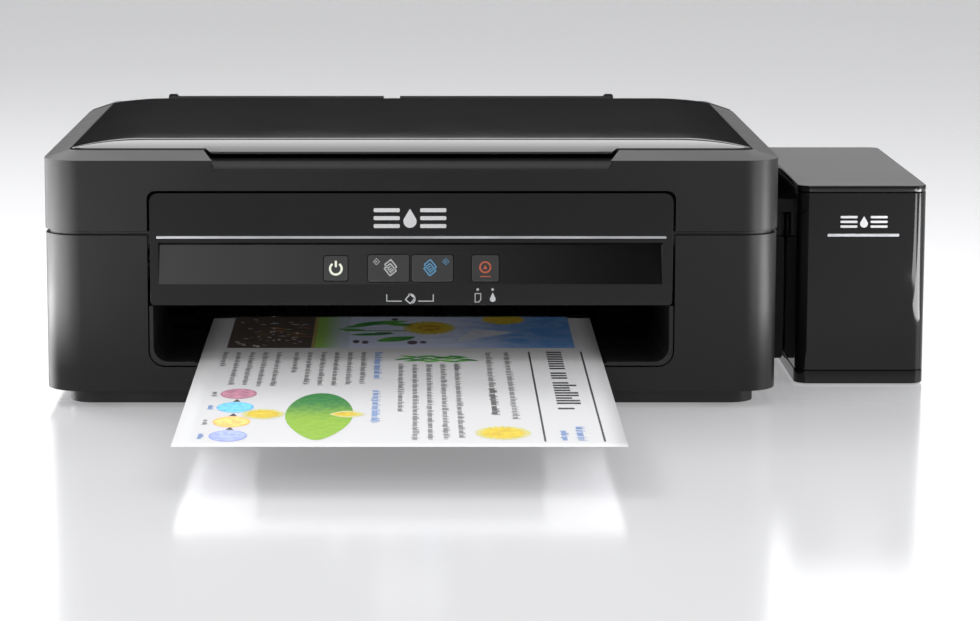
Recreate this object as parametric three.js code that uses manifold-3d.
// An inkjet printer with a flatbed scanner on top and an ink tank unit hung on its right side.
// Millimetres, +Z up, front towards -Y. Each mesh is one real piece, and each group is one assembly.
import * as THREE from "three";
import { mergeVertices } from "three/addons/utils/BufferGeometryUtils.js";
import Module from "manifold-3d";

const wasm = await Module();
wasm.setup();

// ---- Driving dimensions, measured from the middle of the main body at desk level ----
const HALF_W = 196.5; // half width of the main body
const FRONT = -150; // front plane
const REAR = 150; // rear plane
const WALL = 2.5; // moulded wall thickness
const CORNER_FRONT = 20; // vertical corner radii
const CORNER_REAR = 12;
const HOUSING_BOTTOM = 9;
const SPLIT_LOW = 93.1; // parting line between lower housing and scanner unit
const SPLIT_HIGH = 95.5;
const RIM_LOW = 133.1; // outer edge of the sloping rim
const RIM_HIGH = 137.5; // where the rim meets the lid
const RIM_RUN = 14;
const BED = 133.2; // deck around the scanner glass
const SCANNER_REAR = 132;
const TOWER_FRONT = 136.6; // rear section of the lower housing, behind the scanner unit
const PAPER_X = -5.5; // centre of the paper path
const PAPER_W = 215.9;
const PAPER_L = 355.6;
const PAPER_FRONT = -362.3;
const PAPER_LEVEL = 24.7; // height of the sheet at the front plane
const PAPER_SLOPE = THREE.MathUtils.degToRad(1.02);
const PANEL_HALF = 139;
const PANEL_LOW = 55.7;
const PANEL_HIGH = 115.7;
const MOUTH_HALF = 140.5; // cut-out around panel and mouth
const MOUTH_LOW = 22.1;
const STRIP_LOW = 67; // recessed strip of the control panel
const STRIP_HIGH = 89.3;
const STRIP_DEPTH = 5.5;
const TANK_LEFT = 213.7;
const TANK_RIGHT = 285;
const TANK_FRONT = -80;
const TANK_REAR = 121;
const TANK_TOP = 111.7;
const SCOOP_HALF = 105; // finger scoop under the lid's front edge, at the front plane
const SCOOP_FLARE = 6; // how much wider it is at the lid
const LID_HALF = 182.5;
const LID_FRONT = FRONT + 14;
const LID_REAR = 126.3;
const LID_BOTTOM = 134.2;
const PAD = { x0: -161.7, x1: 156.7, y0: -119.7, y1: 113.7 }; // white pad under the lid
const GLASS = { x0: -158, x1: 150, y0: -116, y1: 110 }; // opening over the scanner glass
const FEED_TILT = THREE.MathUtils.degToRad(8); // backward lean of the rear feeder
const ROUND = 24; // sides of a shaft or roller

// ---- Materials ----
const finish = (color, roughness, metalness = 0) =>
  new THREE.MeshStandardMaterial({ color, roughness, metalness });
const casing = finish(0x1d1d1e, 0.45);
const gloss = finish(0x0b0b0c, 0.12);
const satin = finish(0x2a2a2b, 0.4);
const silver = finish(0xb8babc, 0.3, 0.9);
const innerPlastic = finish(0x151516, 0.6);
const steel = finish(0x9a9ca0, 0.35, 1);
const darkRubber = finish(0x1a1a1a, 0.85);
const circuit = finish(0x1f5a36, 0.5);
const whiteFoam = finish(0xe9e9e6, 0.7);
const glassPane = finish(0xbfd4d0, 0.05);
const paperWhite = finish(0xf2f2ef, 0.8);
const inkColors = {
  black: finish(0x141416, 0.3),
  cyan: finish(0x1aa0d8, 0.3),
  magenta: finish(0xc2247a, 0.3),
  yellow: finish(0xf0d020, 0.3),
};

// ---- Solids: three.js geometries, joined and cut by manifold-3d ----
function solid(geometry) {
  const bare = geometry.index ? geometry.toNonIndexed() : geometry.clone();
  bare.deleteAttribute("normal");
  bare.deleteAttribute("uv");
  const merged = mergeVertices(bare, 1e-4);
  const vertProperties = new Float32Array(merged.attributes.position.array);
  const triVerts = new Uint32Array(merged.index.array);
  return new wasm.Manifold(new wasm.Mesh({ numProp: 3, vertProperties, triVerts }));
}

const join = (first, ...others) => others.reduce((sum, next) => sum.add(next), first);
const cut = (first, ...others) => others.reduce((rest, next) => rest.subtract(next), first);

function piece(name, shape, material) {
  const { vertProperties, triVerts } = shape.getMesh();
  const geometry = new THREE.BufferGeometry();
  geometry.setAttribute("position", new THREE.BufferAttribute(new Float32Array(vertProperties), 3));
  geometry.setIndex(new THREE.BufferAttribute(new Uint32Array(triVerts), 1));
  geometry.computeVertexNormals();
  const mesh = new THREE.Mesh(geometry, material);
  mesh.name = name;
  return mesh;
}

function box(x0, x1, y0, y1, z0, z1) {
  const geometry = new THREE.BoxGeometry(x1 - x0, y1 - y0, z1 - z0);
  return solid(geometry.translate((x0 + x1) / 2, (y0 + y1) / 2, (z0 + z1) / 2));
}

// A rectangle with its own radius at each corner, counter-clockwise from the low corner.
function roundRect(x0, x1, y0, y1, radii) {
  const [lowLeft, lowRight, highRight, highLeft] = Array.isArray(radii) ? radii : Array(4).fill(radii);
  const corners = [
    [x1 - lowRight, y0 + lowRight, lowRight, -Math.PI / 2],
    [x1 - highRight, y1 - highRight, highRight, 0],
    [x0 + highLeft, y1 - highLeft, highLeft, Math.PI / 2],
    [x0 + lowLeft, y0 + lowLeft, lowLeft, Math.PI],
  ];
  const shape = new THREE.Shape();
  shape.moveTo(x0 + lowLeft, y0);
  for (const [x, y, radius, start] of corners) {
    if (radius > 0) {
      shape.lineTo(x + radius * Math.cos(start), y + radius * Math.sin(start));
      shape.absarc(x, y, radius, start, start + Math.PI / 2);
    } else {
      shape.lineTo(x, y);
    }
  }
  return shape;
}

function polygon(points) {
  return new THREE.Shape(points.map(([x, y]) => new THREE.Vector2(x, y)));
}

const extrude = (shape, depth, curveSegments = 6) =>
  new THREE.ExtrudeGeometry(shape, { depth, bevelEnabled: false, curveSegments });

// Prisms along each axis: the shape lies in XY, in XZ or in YZ.
const prismZ = (shape, z0, z1) => solid(extrude(shape, z1 - z0).translate(0, 0, z0));
const prismY = (shape, y0, y1) => solid(extrude(shape, y1 - y0).rotateX(Math.PI / 2).translate(0, y1, 0));
const alongX = new THREE.Matrix4().makeBasis(
  new THREE.Vector3(0, 1, 0),
  new THREE.Vector3(0, 0, 1),
  new THREE.Vector3(1, 0, 0),
);
const prismX = (shape, x0, x1) => solid(extrude(shape, x1 - x0).applyMatrix4(alongX).translate(x0, 0, 0));

function rodX(x0, x1, y, z, radius, sides = ROUND) {
  const geometry = new THREE.CylinderGeometry(radius, radius, x1 - x0, sides);
  return solid(geometry.rotateZ(Math.PI / 2).translate((x0 + x1) / 2, y, z));
}

function rodY(y0, y1, x, z, radius, sides = ROUND) {
  const geometry = new THREE.CylinderGeometry(radius, radius, y1 - y0, sides);
  return solid(geometry.translate(x, (y0 + y1) / 2, z));
}

function rodZ(z0, z1, x, y, radius, sides = ROUND) {
  const geometry = new THREE.CylinderGeometry(radius, radius, z1 - z0, sides);
  return solid(geometry.rotateX(Math.PI / 2).translate(x, y, (z0 + z1) / 2));
}

// A closed skin over rings of equally many points, fanned shut at both ends.
function loft(rings) {
  const count = rings[0].length;
  const points = rings.flat();
  const ends = [rings[0], rings[rings.length - 1]];
  const centres = ends.map((ring) =>
    [0, 1, 2].map((axis) => ring.reduce((sum, point) => sum + point[axis], 0) / count),
  );
  const faces = [];
  for (let ring = 0; ring + 1 < rings.length; ring++) {
    for (let i = 0; i < count; i++) {
      const a = ring * count + i;
      const b = ring * count + ((i + 1) % count);
      faces.push(a, b, b + count, a, b + count, a + count);
    }
  }
  const low = points.length;
  const high = low + 1;
  const last = (rings.length - 1) * count;
  for (let i = 0; i < count; i++) {
    const next = (i + 1) % count;
    faces.push(low, next, i);
    faces.push(high, last + i, last + next);
  }
  const geometry = new THREE.BufferGeometry();
  const values = [...points, ...centres].flat();
  geometry.setAttribute("position", new THREE.Float32BufferAttribute(values, 3));
  geometry.setIndex(faces);
  return solid(geometry);
}

// The points of a rounded rectangle at one height, the same number for any radius.
function ring(x0, x1, y0, y1, radii, z, perCorner = 6) {
  const [lowLeft, lowRight, highRight, highLeft] = Array.isArray(radii) ? radii : Array(4).fill(radii);
  const corners = [
    [x1 - lowRight, y0 + lowRight, lowRight, -Math.PI / 2],
    [x1 - highRight, y1 - highRight, highRight, 0],
    [x0 + highLeft, y1 - highLeft, highLeft, Math.PI / 2],
    [x0 + lowLeft, y0 + lowLeft, lowLeft, Math.PI],
  ];
  const points = [];
  for (const [x, y, radius, start] of corners) {
    for (let i = 0; i <= perCorner; i++) {
      const angle = start + (i / perCorner) * (Math.PI / 2);
      points.push([x + radius * Math.cos(angle), y + radius * Math.sin(angle), z]);
    }
  }
  return points;
}

// A plate of even thickness along a bent line, as an outline.
function stroke(points, thickness) {
  const line = points.map(([x, y]) => new THREE.Vector2(x, y));
  const directions = line.slice(1).map((point, i) => point.clone().sub(line[i]).normalize());
  const sides = line.map((point, i) => {
    const before = directions[Math.max(i - 1, 0)];
    const after = directions[Math.min(i, directions.length - 1)];
    const along = before.clone().add(after).normalize();
    const across = new THREE.Vector2(-along.y, along.x);
    const half = thickness / 2 / along.dot(after);
    return [point.clone().addScaledVector(across, half), point.clone().addScaledVector(across, -half)];
  });
  return new THREE.Shape([...sides.map((pair) => pair[1]), ...sides.map((pair) => pair[0]).reverse()]);
}

// The outline of a belt round pulleys given as [x, y, radius].
function beltOutline(pulleys, reach, path) {
  const samples = pulleys.flatMap(([x, y, radius]) =>
    Array.from({ length: 20 }, (_, i) => {
      const angle = (i / 20) * 2 * Math.PI;
      return new THREE.Vector2(x + (radius + reach) * Math.cos(angle), y + (radius + reach) * Math.sin(angle));
    }),
  );
  samples.sort((a, b) => a.x - b.x || a.y - b.y);
  const turn = (a, b, c) => (b.x - a.x) * (c.y - a.y) - (b.y - a.y) * (c.x - a.x);
  const chain = (list) => {
    const hull = [];
    for (const point of list) {
      while (hull.length > 1 && turn(hull[hull.length - 2], hull[hull.length - 1], point) <= 1e-9) {
        hull.pop();
      }
      hull.push(point);
    }
    return hull.slice(0, -1);
  };
  const hull = [...chain(samples), ...chain([...samples].reverse())];
  return path.setFromPoints([...hull, hull[0]]);
}

function belt(pulleys, clearance, thickness) {
  const shape = beltOutline(pulleys, clearance + thickness, new THREE.Shape());
  shape.holes.push(beltOutline(pulleys, clearance, new THREE.Path()));
  return shape;
}

// The slope of the paper path in front of the rollers: height of the sheet at a given depth.
const paperHeight = (y) => PAPER_LEVEL + (y - FRONT) * Math.tan(PAPER_SLOPE);
const sloped = (y0, y1, above, below) =>
  polygon([
    [y0, paperHeight(y0) + below],
    [y1, paperHeight(y1) + below],
    [y1, paperHeight(y1) + above],
    [y0, paperHeight(y0) + above],
  ]);

const machine = new THREE.Group();
const scannerUnit = new THREE.Group();
const tankUnit = new THREE.Group();
machine.add(scannerUnit, tankUnit);

// ---- Base pan and feet ----
const PAN_FLOOR = 4;
const panPlinth = prismZ(roundRect(-184.5, 184.5, -142, 142, 14), 1.5, HOUSING_BOTTOM + 0.2);
const panFlange = prismZ(roundRect(-193.2, 193.2, -146.7, 147.4, [17.5, 17.5, 10, 10]), HOUSING_BOTTOM, 11.4);
const panHollow = prismZ(roundRect(-181, 181, -138.5, 138.5, 11), PAN_FLOOR, 12);
machine.add(piece("base_pan", cut(join(panPlinth, panFlange), panHollow), innerPlastic));

const footProfile = [[0, 0], [8.2, 0], [9, 0.8], [9, 1.2], [0, 1.2]];
const footShape = new THREE.LatheGeometry(footProfile.map(([r, z]) => new THREE.Vector2(r, z)), 20);
for (const [side, x] of [["left", -165], ["right", 165]]) {
  for (const [end, y] of [["front", -125], ["rear", 125]]) {
    const foot = piece(`foot_${end}_${side}`, solid(footShape.clone().rotateX(Math.PI / 2)), darkRubber);
    foot.position.set(x, y, 0);
    machine.add(foot);
  }
}

// ---- Lower housing: a shell open above and below, with the rear section behind the scanner ----
const SUPPORT_LEFT = -148.6;
const SUPPORT_RIGHT = 123.5;
const SLOT_LEFT = -119.5; // paper slot between the cheeks of the feeder
const SLOT_RIGHT = 108.5;
const TRAY_NOTCH = [-84.1, 73.1];
const bodyRadii = [CORNER_FRONT, CORNER_FRONT, CORNER_REAR, CORNER_REAR];

function lowerHousing() {
  const half = HALF_W - 0.4;
  const radii = bodyRadii;
  const inner = radii.map((radius) => radius - WALL);
  const outside = prismZ(roundRect(-half, half, FRONT + 0.4, REAR, radii), HOUSING_BOTTOM, SPLIT_LOW);
  const tower = loft([
    ring(-half, half, FRONT + 0.4, REAR, radii, SPLIT_LOW - 0.1),
    ring(-half, half, FRONT + 0.4, REAR, radii, RIM_LOW),
    ring(-half + RIM_RUN, half - RIM_RUN, FRONT + RIM_RUN, REAR - 2, [6, 6, 4, 4], RIM_HIGH),
  ]);
  const towerRegion = box(-200, 200, TOWER_FRONT, 160, 80, 150);
  const hollow = prismZ(roundRect(-half + WALL, half - WALL, FRONT + 0.4 + WALL, REAR - 2.2, inner), 5, SPLIT_LOW + 1);
  const towerHollow = box(-half + WALL + 2, half - WALL - 2, TOWER_FRONT + WALL, REAR - 2.2, 90, RIM_LOW);
  const slotRegion = box(SLOT_LEFT - 2.4, SLOT_RIGHT + 2.4, 125, REAR - 2.2, 90, 150);
  const supportSlot = join(
    box(SUPPORT_LEFT - 0.6, SUPPORT_RIGHT + 0.6, 142.6, REAR - 2.2, 110, 150),
    box(SUPPORT_LEFT - 0.6, SUPPORT_RIGHT + 0.6, 130, REAR - 2.2, 90, 112),
  );
  const mouth = prismY(roundRect(-MOUTH_HALF, MOUTH_HALF, MOUTH_LOW, 130, [9, 9, 1, 1]), FRONT - 5, FRONT + 5);
  const trayNotch = box(TRAY_NOTCH[0], TRAY_NOTCH[1], FRONT - 5, FRONT + 5, 14.2, 40);
  const powerHole = box(-171, -141, 140, 155, 19, 43);
  const usbHole = box(119.7, 134.3, 140, 155, 19.7, 33.3);
  const tubeHole = box(190, 200, 8, 34, 60, 72);
  const shell = join(cut(outside, hollow), tower.intersect(towerRegion));
  return cut(shell, towerHollow, slotRegion, supportSlot, mouth, trayNotch, powerHole, usbHole, tubeHole);
}
machine.add(piece("lower_housing", lowerHousing(), casing));

// ---- Liner of the output mouth, with a channel for the tray ----
function outputBezel() {
  const radius = 8;
  const thickness = 2.3;
  const half = MOUTH_HALF - 0.5;
  const low = MOUTH_LOW + 0.5;
  const top = PANEL_LOW - 0.5;
  const [left, right] = [TRAY_NOTCH[0] + 0.6, TRAY_NOTCH[1] - 0.6];
  const outside = join(
    prismY(roundRect(-half, half, low, top, [radius, radius, 0, 0]), FRONT + 1.4, -40),
    box(left, right, FRONT + 1.4, -40, 14.8, low + 5),
  );
  const inside = join(
    prismY(
      roundRect(-half + thickness, half - thickness, low + thickness, top + 5, [radius, radius, 0, 0]),
      FRONT,
      -30,
    ),
    box(left + thickness, right - thickness, FRONT, -30, 14.8 + thickness, low + 9),
    box(PAPER_X - PAPER_W / 2 - 2, PAPER_X + PAPER_W / 2 + 2, FRONT, -30, PAPER_LEVEL - 0.5, low + 9),
  );
  return cut(outside, inside);
}
machine.add(piece("output_bezel", outputBezel(), innerPlastic));

// ---- Control panel ----
const stripAngle = Math.atan(STRIP_DEPTH / (STRIP_HIGH - STRIP_LOW));
const stripUp = new THREE.Vector3(0, Math.sin(stripAngle), Math.cos(stripAngle));
const stripOut = new THREE.Vector3(0, -Math.cos(stripAngle), Math.sin(stripAngle));
const stripFrame = new THREE.Matrix4()
  .makeBasis(new THREE.Vector3(1, 0, 0), stripUp, stripOut)
  .setPosition(0, FRONT, STRIP_LOW);
// A rounded block on the tilted strip: across, up the strip, and out from its face.
const onStrip = (shape, out0, out1) =>
  solid(extrude(shape, out1 - out0, 3).translate(0, 0, out0).applyMatrix4(stripFrame));

const BUTTON_UP = 8.44; // height of the button centres up the strip
const buttons = [
  { name: "power_button", x0: -46.9, x1: -33.5, height: 14 },
  { name: "mono_copy_button", x0: -23.4, x1: -0.9, height: 15 },
  { name: "color_copy_button", x0: -0.1, x1: 22.5, height: 15 },
  { name: "stop_button", x0: 31.95, x1: 46.85, height: 14.7 },
];
const buttonShape = ({ x0, x1, height }, inset, radius) =>
  roundRect(x0 + inset, x1 - inset, BUTTON_UP - height / 2 + inset, BUTTON_UP + height / 2 - inset, radius);

function controlPanel() {
  const outside = prismY(roundRect(-PANEL_HALF, PANEL_HALF, PANEL_LOW, PANEL_HIGH, [2, 2, 4.5, 4.5]), FRONT, -138);
  const hollow = box(-136.6, 136.6, FRONT + 2.4, -130, PANEL_LOW + 2.4, PANEL_HIGH - 2.4);
  const [dy, dz] = [-2 * stripOut.y, -2 * stripOut.z];
  const filling = polygon([
    [FRONT + 1, STRIP_LOW - 0.5],
    [FRONT + dy, STRIP_LOW + dz],
    [FRONT + STRIP_DEPTH + dy, STRIP_HIGH + dz],
    [FRONT + STRIP_DEPTH + dy, STRIP_HIGH + 2],
    [FRONT + 1, STRIP_HIGH + 2],
  ]);
  const recess = polygon([
    [FRONT - 2, STRIP_LOW],
    [FRONT, STRIP_LOW],
    [FRONT + STRIP_DEPTH, STRIP_HIGH],
    [FRONT - 2, STRIP_HIGH],
  ]);
  const trimGroove = box(-135.8, 135.8, FRONT - 2, FRONT + 0.9, 91.2, 93.2);
  const body = join(cut(outside, hollow), prismX(filling, -137, 137));
  const holes = buttons.map((button) => onStrip(buttonShape(button, 0, 1.5), -4, 2));
  return cut(body, prismX(recess, -134.5, 133.6), trimGroove, ...holes);
}
machine.add(piece("control_panel", controlPanel(), gloss));
machine.add(piece("panel_trim", box(-135.5, 135.5, FRONT - 0.3, FRONT + 0.6, 91.5, 92.9), silver));
machine.add(piece("panel_board", onStrip(roundRect(-128, 128, 2, 21, 1), -7.6, -6), circuit));
for (const button of buttons) {
  const cap = onStrip(buttonShape(button, 0.35, 1.2), -2.6, 0.5);
  const middle = (button.x0 + button.x1) / 2;
  const stem = onStrip(roundRect(middle - 1.5, middle + 1.5, BUTTON_UP - 1.5, BUTTON_UP + 1.5, 0.5), -4.6, -2);
  machine.add(piece(button.name, join(cap, stem), gloss));
}

// ---- Chassis: an upright steel sheet with two side plates that carry the shafts ----
const FEED = { y: 68, z: 22.4 };
const EJECT = { y: 8, z: 21.4 };
const ROD = { y: 78, z: 50 };
const BELT_Z = 70;
const PULLEY_X = 150;

function chassisFrame() {
  const back = box(-173.6, 173.6, 84, 85.6, 36, 90);
  const lip = box(-173.6, 173.6, 74, 85.6, 88.4, 90);
  const plates = [[-173.6, -172], [172, 173.6]].map(([x0, x1]) => box(x0, x1, -20, 85.6, 5, 90));
  const holes = [
    rodX(-180, 180, FEED.y, FEED.z, 5.5),
    rodX(-180, 180, EJECT.y, EJECT.z, 3.5),
    rodX(-180, 180, ROD.y, ROD.z, 4.3),
    rodY(80, 90, -PULLEY_X, BELT_Z, 3),
  ];
  return cut(join(back, lip, ...plates), ...holes);
}
machine.add(piece("chassis_frame", chassisFrame(), steel));
machine.add(piece("carriage_rod", rodX(-175, 175, ROD.y, ROD.z, 4), steel));

// ---- Paper path ----
function platen() {
  const base = box(-125, 104, 18, 59, 20, 24);
  const ribs = Array.from({ length: 12 }, (_, i) => -122 + (i * 222) / 11).map((x) =>
    box(x - 0.9, x + 0.9, 18, 59, 23, 27.3),
  );
  return join(base, ...ribs);
}
machine.add(piece("platen", platen(), innerPlastic));

function starWheelBar() {
  const bar = box(-171.6, 171.6, 3.5, 12.5, 33.5, 37.5);
  const wheels = Array.from({ length: 8 }, (_, i) => -100 + i * 27).map((x) =>
    rodX(x - 0.8, x + 0.8, EJECT.y, 33, 4.6, 16),
  );
  return join(bar, ...wheels);
}
machine.add(piece("star_wheel_bar", starWheelBar(), innerPlastic));

function feedRoller() {
  const shaft = rodX(-181.6, 176, FEED.y, FEED.z, 5);
  return join(shaft, rodX(-181, -176, FEED.y, FEED.z, 12));
}
machine.add(piece("feed_roller", feedRoller(), steel));

function ejectRoller() {
  const shaft = rodX(-181.6, 176, EJECT.y, EJECT.z, 3, 12);
  const tyres = Array.from({ length: 6 }, (_, i) => -95 + i * 36).map((x) =>
    rodX(x - 5, x + 5, EJECT.y, EJECT.z, 6, 16),
  );
  return join(shaft, rodX(-181, -176, EJECT.y, EJECT.z, 10), ...tyres);
}
machine.add(piece("eject_roller", ejectRoller(), darkRubber));

const MOTOR = { y: 42, z: 44 };
const feedPulleys = [[FEED.y, FEED.z, 12], [EJECT.y, EJECT.z, 10], [MOTOR.y, MOTOR.z, 6]];
machine.add(piece("feed_belt", prismX(belt(feedPulleys, 0.5, 1.2), -180.6, -176.4), darkRubber));
machine.add(piece("feed_motor", rodX(-192.6, -183, MOTOR.y, MOTOR.z, 15), steel));
machine.add(piece("motor_pulley", rodX(-182.6, -176, MOTOR.y, MOTOR.z, 6), silver));

const PICKUP = { y: 109.5, z: 77.7 };
function pickupRoller() {
  const shaft = rodX(-118.5, 107.5, PICKUP.y, PICKUP.z, 3);
  return join(shaft, rodX(PAPER_X - 15, PAPER_X + 15, PICKUP.y, PICKUP.z, 14.5));
}
machine.add(piece("pickup_roller", pickupRoller(), darkRubber));

// ---- Carriage and its drive ----
const CARRIAGE = [102, 166];
function carriage() {
  const body = box(CARRIAGE[0], CARRIAGE[1], 16, 72.2, 34.5, 84);
  const pocket = box(CARRIAGE[0] + 3, CARRIAGE[1] - 3, 19, 69, 60, 90);
  const bearing = box(106, 162, 72, 83.4, 43, 57);
  const bore = rodX(90, 180, ROD.y, ROD.z, 4.3);
  const clip = cut(box(130, 138, 72, 81, 58.4, 65), box(120, 150, 74, 90, 60.7, 62.6));
  return join(cut(join(body, bearing), bore, pocket), clip);
}
machine.add(piece("carriage", carriage(), satin));
machine.add(piece("print_head", box(118, 150, 24, 62, 29.6, 34.2), steel));
const beltPulleys = [[-PULLEY_X, BELT_Z, 7.4], [PULLEY_X, BELT_Z, 7.4]];
machine.add(piece("carriage_belt", prismY(belt(beltPulleys, 0.4, 1.2), 75, 81), darkRubber));
const driveShaft = rodY(81, 86, -PULLEY_X, BELT_Z, 2.5);
machine.add(piece("drive_pulley", join(rodY(74.5, 81.5, -PULLEY_X, BELT_Z, 7.4), driveShaft), silver));
machine.add(piece("idler_pulley", rodY(74.5, 81.5, PULLEY_X, BELT_Z, 7.4), satin));
machine.add(piece("carriage_motor", rodY(86.5, 116, -PULLEY_X, BELT_Z, 14), steel));
const capBody = cut(box(109, 160, 18, 62, 5, 28.8), box(119, 149, 26, 58, 24, 30));
machine.add(piece("cap_station", capBody, innerPlastic));
machine.add(piece("waste_ink_pad", box(122, 168, 92, 126, 4.4, 17.6), whiteFoam));

// ---- Rear feeder: chute with cheeks, edge guide and the sliding paper support ----
const lean = Math.tan(FEED_TILT);
const SUPPORT_TOP = 140.7;
const supportBack = (z) => 147.6 - (SUPPORT_TOP - z) * lean;
const supportThickness = 2.4;
const chuteMiddle = (z) => supportBack(z) - supportThickness - 1.45;

function feederChute() {
  const line = [[77, 26], [92, 28.5], [116, 52], [chuteMiddle(97), 97], [chuteMiddle(136.3), 136.3]];
  const plate = prismX(stroke(line, 2), SLOT_LEFT - 2, SLOT_RIGHT + 2);
  const cheek = polygon([
    [128, 96],
    [chuteMiddle(96), 94],
    [chuteMiddle(134), 134],
    [chuteMiddle(134) - 4.6, 134],
    [129.5, 112],
    [128, 112],
  ]);
  const carrier = polygon([[102, 68], [114, 52], [chuteMiddle(94), 94], [102, 86]]);
  const ends = [[SLOT_LEFT - 2, SLOT_LEFT], [SLOT_RIGHT, SLOT_RIGHT + 2]];
  const sides = ends.flatMap(([x0, x1]) => [prismX(cheek, x0, x1), prismX(carrier, x0, x1)]);
  const bearing = rodX(-130, 130, PICKUP.y, PICKUP.z, 3.4);
  return cut(join(plate, ...sides), bearing);
}
machine.add(piece("feeder_chute", feederChute(), innerPlastic));

const guideFace = (z) => chuteMiddle(z) - 1.5;
const guideOutline = polygon([
  [guideFace(99) - 4.5, 99],
  [guideFace(99), 99],
  [guideFace(131.5), 131.5],
  [guideFace(131.5) - 4.5, 131.5],
]);
machine.add(piece("edge_guide", prismX(guideOutline, -117.6, -115.4), satin));

function paperSupport() {
  const low = 62.7;
  const outline = polygon([
    [supportBack(low) - supportThickness, low],
    [supportBack(low), low],
    [supportBack(SUPPORT_TOP), SUPPORT_TOP],
    [supportBack(SUPPORT_TOP) - supportThickness, SUPPORT_TOP],
  ]);
  const ears = [SUPPORT_LEFT - 1, SUPPORT_RIGHT - 5].map((x) =>
    prismY(roundRect(x, x + 6, 139, 142, [0, 0, 1.5, 1.5]), 145.4, 147.5),
  );
  const notch = box(-17, -7, 140, 150, 139.2, 145);
  return cut(join(prismX(outline, SUPPORT_LEFT, SUPPORT_RIGHT), ...ears), notch);
}
machine.add(piece("paper_support", paperSupport(), satin));

// ---- Output tray in two stages, and the printed sheet on it ----
function outputTray() {
  const [x0, x1] = [PAPER_X - 74, PAPER_X + 74];
  const plate = prismX(sloped(-250, -125, -0.6, -2), x0, x1);
  const rails = [[x0, x0 + 2], [x1 - 2, x1]].map(([a, b]) => prismX(sloped(-250, -125, -1, -5.4), a, b));
  return join(plate, ...rails);
}
machine.add(piece("output_tray", outputTray(), innerPlastic));

function trayExtension() {
  const plate = prismX(sloped(-332, -222, -2.4, -4), PAPER_X - 70, PAPER_X + 70);
  const nose = prismX(sloped(-332, -328, -0.6, -4), PAPER_X - 50, PAPER_X + 50);
  return join(plate, nose);
}
machine.add(piece("tray_extension", trayExtension(), innerPlastic));
const sheetOutline = sloped(PAPER_FRONT, PAPER_FRONT + PAPER_L * Math.cos(PAPER_SLOPE), 0.15, -0.15);
machine.add(piece("printed_sheet", prismX(sheetOutline, PAPER_X - PAPER_W / 2, PAPER_X + PAPER_W / 2), paperWhite));

// ---- Electronics and sockets ----
const inletBody = cut(box(-170.6, -141.4, 126, 149.7, 19.4, 42.6), box(-166.5, -145.5, 133, 155, 24.5, 37.5));
const pins = [-161, -151].map((x) => rodY(132, 145, x, 31, 1.2, 12));
machine.add(piece("ac_inlet", join(inletBody, ...pins), innerPlastic));
machine.add(piece("power_supply", box(-180, -124, 92, 125, 5, 50), innerPlastic));
const usbBody = cut(box(120, 134, 132, 149.7, 20, 33), box(122.4, 131.6, 136, 155, 22, 31));
machine.add(piece("usb_port", join(usbBody, box(124.4, 129.6, 135, 147, 25, 28)), steel));
machine.add(piece("main_board", box(183, 184.6, 38, 140, 13, 88), circuit));

// ---- Scanner unit ----
const SCAN_PIVOT = { y: 125, z: 126 };
const BRACKET_X = [164, 170];
for (const side of [-1, 1]) {
  const [x0, x1] = BRACKET_X.map((x) => side * x).sort((a, b) => a - b);
  const stem = box(x0, x1, 121, 127, 60, SCAN_PIVOT.z);
  const shelf = box(x0, x1, 121, 147, 58, 62);
  const head = rodX(x0, x1, SCAN_PIVOT.y - 1, SCAN_PIVOT.z, 4.2);
  const bracket = cut(join(stem, shelf, head), rodX(x0 - 1, x1 + 1, SCAN_PIVOT.y - 1, SCAN_PIVOT.z, 2.8));
  machine.add(piece(side < 0 ? "hinge_bracket_left" : "hinge_bracket_right", bracket, satin));
}

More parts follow.
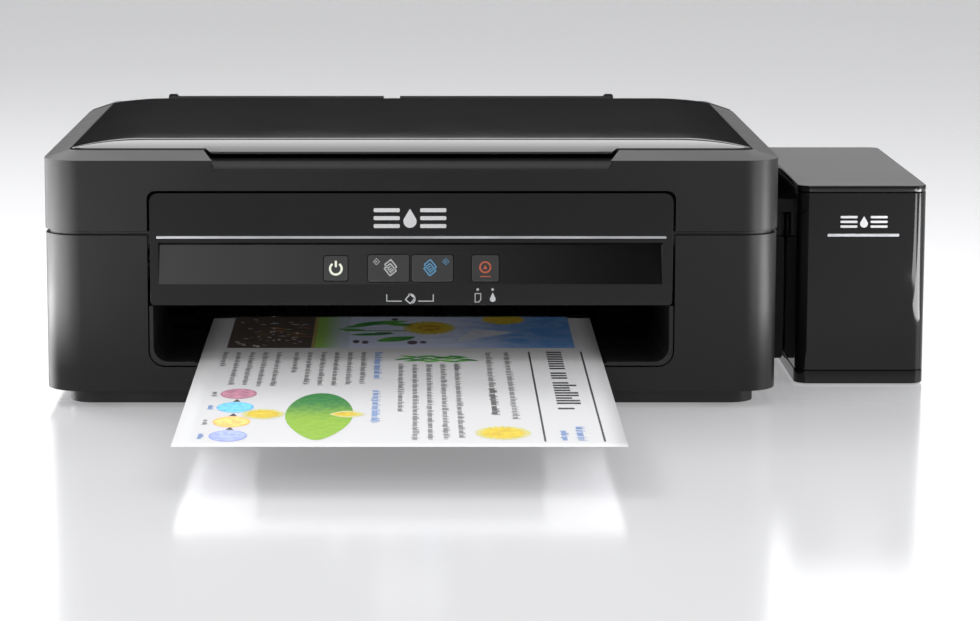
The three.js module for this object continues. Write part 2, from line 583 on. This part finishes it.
const NOTCH = [SLOT_LEFT - 4.5, SLOT_RIGHT + 4.5]; // the rear wall steps forward round the paper slot
function scannerHousing() {
  const outside = loft([
    ring(-HALF_W, HALF_W, FRONT, SCANNER_REAR, [CORNER_FRONT, CORNER_FRONT, 4, 4], SPLIT_HIGH),
    ring(-HALF_W, HALF_W, FRONT, SCANNER_REAR, [CORNER_FRONT, CORNER_FRONT, 4, 4], RIM_LOW),
    ring(-HALF_W + RIM_RUN, HALF_W - RIM_RUN, FRONT + RIM_RUN, SCANNER_REAR - 1, [6, 6, 2, 2], RIM_HIGH),
  ]);
  const inner = HALF_W - WALL;
  const hollow = join(
    prismZ(roundRect(-inner, inner, FRONT + WALL, 124, [17.5, 17.5, 1, 1]), 90, 131),
    box(-inner, NOTCH[0] - WALL, 120, 129.5, 90, 131),
    box(NOTCH[1] + WALL, inner, 120, 129.5, 90, 131),
  );
  const wellShape = roundRect(-LID_HALF - 0.3, LID_HALF + 0.3, LID_FRONT - 0.3, LID_REAR + 0.3, [6, 6, 2, 2]);
  const lidWell = prismZ(wellShape, BED, 150);
  const glassOpening = box(GLASS.x0, GLASS.x1, GLASS.y0, GLASS.y1, 120, 140);
  const slotNotch = box(NOTCH[0], NOTCH[1], 126.4, 140, 90, 132.9);
  const panelNotch = prismY(roundRect(-MOUTH_HALF, MOUTH_HALF, 80, 117, [1, 1, 4.5, 4.5]), FRONT - 5, FRONT + 5);
  const bracketNotches = [-1, 1].map((side) => box(side * 167 - 5.5, side * 167 + 5.5, 128, 140, 90, 126));
  const wide = SCOOP_HALF + SCOOP_FLARE;
  const scoopSide = polygon([
    [FRONT - 2, 127],
    [FRONT, 127],
    [FRONT + 0.4, 128.2],
    [FRONT + 1.4, 129.2],
    [FRONT + 3, 129.9],
    [FRONT + 12, 132],
    [FRONT + 13.8, 132.3],
    [FRONT + 13.8, 140],
    [FRONT - 2, 140],
  ]);
  const scoopPlan = polygon([
    [-SCOOP_HALF, FRONT - 2],
    [SCOOP_HALF, FRONT - 2],
    [wide, FRONT + 14],
    [-wide, FRONT + 14],
  ]);
  const scoop = prismX(scoopSide, -wide, wide).intersect(prismZ(scoopPlan, 120, 145));
  const ears = [-1, 1].map((side) => {
    const outer = side * 157.5;
    const near = side * 160.6;
    return box(Math.min(outer, near), Math.max(outer, near), 119, 129.6, 119, 131.5);
  });
  const pins = [-1, 1].map((side) =>
    rodX(Math.min(side * 160, side * 171), Math.max(side * 160, side * 171), SCAN_PIVOT.y - 1, SCAN_PIVOT.z, 2.5),
  );
  const shell = cut(outside, hollow, lidWell, glassOpening, slotNotch, panelNotch, ...bracketNotches, scoop);
  const scoopFloor = stroke([[FRONT + 1.5, 127], [FRONT + 3.5, 129], [FRONT + 13, 131.1]], 1.8);
  return join(shell, prismX(scoopFloor, -wide - 1, wide + 1), ...ears, ...pins);
}
scannerUnit.add(piece("scanner_housing", scannerHousing(), casing));

function scannerFloor() {
  const plate = prismZ(roundRect(-193.6, 193.6, FRONT + 2.9, 123.6, [17, 17, 1, 1]), 95.8, 98);
  const bay = box(-143.5, 143.5, FRONT - 5, -131, 90, 118);
  const bracketSlots = [-1, 1].map((side) => box(side * 167 - 7, side * 167 + 7, 117, 130, 90, 100));
  const wall = box(-143.5, 143.5, -131, -129, 95.8, 120);
  const roof = box(-143.5, 143.5, FRONT + 2.9, -129, 118, 120);
  const sides = [[-143.5, -141.3], [141.3, 143.5]].map(([x0, x1]) => box(x0, x1, FRONT + 2.9, -129, 95.8, 120));
  return join(cut(plate, bay, ...bracketSlots), wall, roof, ...sides);
}
scannerUnit.add(piece("scanner_floor", scannerFloor(), innerPlastic));
const pane = box(GLASS.x0 + 0.3, GLASS.x1 - 0.3, GLASS.y0 + 0.3, GLASS.y1 - 0.3, 130, 132.9);
scannerUnit.add(piece("scanner_glass", pane, glassPane));
scannerUnit.add(piece("scan_rail", rodX(-193.6, 193.6, 0, 108, 3, 16), steel));
const barBody = box(-160, -144, -112, 106, 112, 129.5);
const barBearing = cut(box(-160, -144, -8, 8, 102, 113), rodX(-170, -130, 0, 108, 3.4));
const bar = cut(join(barBody, barBearing), box(-157, -147, -108, 102, 121, 130));
scannerUnit.add(piece("scan_bar", bar, innerPlastic));

// ---- Lid ----
function lidCover() {
  const body = loft([
    ring(-LID_HALF, LID_HALF, LID_FRONT, LID_REAR, [6, 6, 2, 2], LID_BOTTOM),
    ring(-LID_HALF, LID_HALF, LID_FRONT, LID_REAR, [6, 6, 2, 2], 137.4),
    ring(-181, 181, FRONT + 15.2, 125.6, [6, 6, 2, 2], 138.2),
    ring(-160, 160, FRONT + 24, 122, [20, 20, 8, 8], 139.8),
    ring(-142, 142, FRONT + 32, 116, [24, 24, 20, 20], 140.6),
    ring(-90, 90, FRONT + 70, 80, [40, 40, 40, 40], 141),
  ]);
  const padPocket = box(PAD.x0 - 0.3, PAD.x1 + 0.3, PAD.y0 - 0.3, PAD.y1 + 0.3, 130, 136.3);
  const grip = prismX(
    polygon([
      [FRONT + 8, 130],
      [FRONT + 8, 136.2],
      [FRONT + 14, 135.9],
      [FRONT + 20, 134.3],
      [FRONT + 20, 130],
    ]),
    -SCOOP_HALF,
    SCOOP_HALF,
  );
  const lip = prismX(
    polygon([
      [FRONT + 9, 134.6],
      [FRONT + 20, 134.6],
      [FRONT + 20, 138.4],
      [FRONT + 14, 137.4],
      [FRONT + 9, 136.3],
    ]),
    -SCOOP_HALF,
    SCOOP_HALF,
  );
  const underLip = box(-SCOOP_HALF, SCOOP_HALF, FRONT, LID_FRONT, 130, 134.6);
  return cut(join(body, lip), padPocket, grip.intersect(underLip));
}
const lid = new THREE.Group();
lid.add(piece("lid_cover", lidCover(), gloss));
lid.add(piece("lid_pad", box(PAD.x0, PAD.x1, PAD.y0, PAD.y1, 133.5, 136), whiteFoam));
scannerUnit.add(lid);

// ---- Tube cover and ink tubes between body and tank ----
function tubeCover() {
  const block = prismY(roundRect(196.8, 213, 5, 75.4, 2), -20, 50);
  const hollow = box(190, 211, -17.6, 47.6, 7, 73);
  const rib = box(211.2, 212.9, -16, 41, 75, 88);
  return join(cut(block, hollow), rib);
}
machine.add(piece("tube_cover", tubeCover(), casing));
const tubeLine = [[208, 14], [208, 60], [204, 66], [186, 66], [181, 71], [181, 87], [176, 92], [20, 92]];
machine.add(piece("ink_tubes", prismY(stroke(tubeLine, 2.6), 12, 28), satin));

// ---- Tank unit ----
const TANK_RADII = [8, 8, 6, 6];
const COVER_LOW = 107.8;
const TANK_WALLS_LOW = 8.6;
const TANK_WALL = 2.4;
const TANK_PITCH = 49;
const HOOK_FRONT = -20; // the hook that hangs the tank unit on the body
const HOOK_REAR = 45;
const tankCentre = (i) => TANK_FRONT + 2 + TANK_PITCH * (i + 0.5);
const inks = Object.entries(inkColors);

function tankHousing() {
  const outside = prismZ(roundRect(TANK_LEFT, TANK_RIGHT, TANK_FRONT, TANK_REAR, TANK_RADII), TANK_WALLS_LOW, COVER_LOW - 0.4);
  const inner = TANK_RADII.map((radius) => radius - TANK_WALL);
  const innerShape = roundRect(
    TANK_LEFT + TANK_WALL,
    TANK_RIGHT - TANK_WALL,
    TANK_FRONT + TANK_WALL,
    TANK_REAR - TANK_WALL,
    inner,
  );
  const hollow = prismZ(innerShape, 5, 120);
  const windows = inks.map((_, i) =>
    box(TANK_RIGHT - 5, TANK_RIGHT + 5, tankCentre(i) - 15, tankCentre(i) + 15, 20, 84),
  );
  const hook = polygon([
    [TANK_LEFT + 1, 96.5],
    [203.5, 96.5],
    [203.5, 76],
    [210.8, 76],
    [210.8, 89.5],
    [TANK_LEFT + 1, 89.5],
  ]);
  const backWall = box(199, TANK_LEFT + 1, HOOK_REAR - 0.1, HOOK_REAR + 7, 89.5, COVER_LOW - 0.4);
  return join(cut(outside, hollow, ...windows), prismY(hook, HOOK_FRONT, HOOK_REAR), backWall);
}
tankUnit.add(piece("tank_housing", tankHousing(), gloss));
const baseShape = roundRect(TANK_LEFT - 0.5, TANK_RIGHT, TANK_FRONT - 0.5, TANK_REAR, TANK_RADII);
tankUnit.add(piece("tank_base", prismZ(baseShape, 0.8, TANK_WALLS_LOW - 0.3), gloss));
inks.forEach(([color, material], i) => {
  const y = tankCentre(i);
  const bottle = prismZ(roundRect(217, 281.8, y - 22.5, y + 22.5, 3), 9, 92);
  const neck = rodZ(91, 100, 249, y, 7.5);
  tankUnit.add(piece(`ink_tank_${color}`, join(bottle, neck), material));
});
const coverShape = roundRect(TANK_LEFT, TANK_RIGHT, TANK_FRONT, TANK_REAR, TANK_RADII);
tankUnit.add(piece("tank_cover", prismZ(coverShape, COVER_LOW, TANK_TOP), satin));

// The part's origin is the middle of its whole footprint, at desk level.
machine.position.set(-(TANK_RIGHT - HALF_W) / 2, -(PAPER_FRONT + REAR) / 2, 0);
const printer = new THREE.Group();
printer.add(machine);
export default printer;
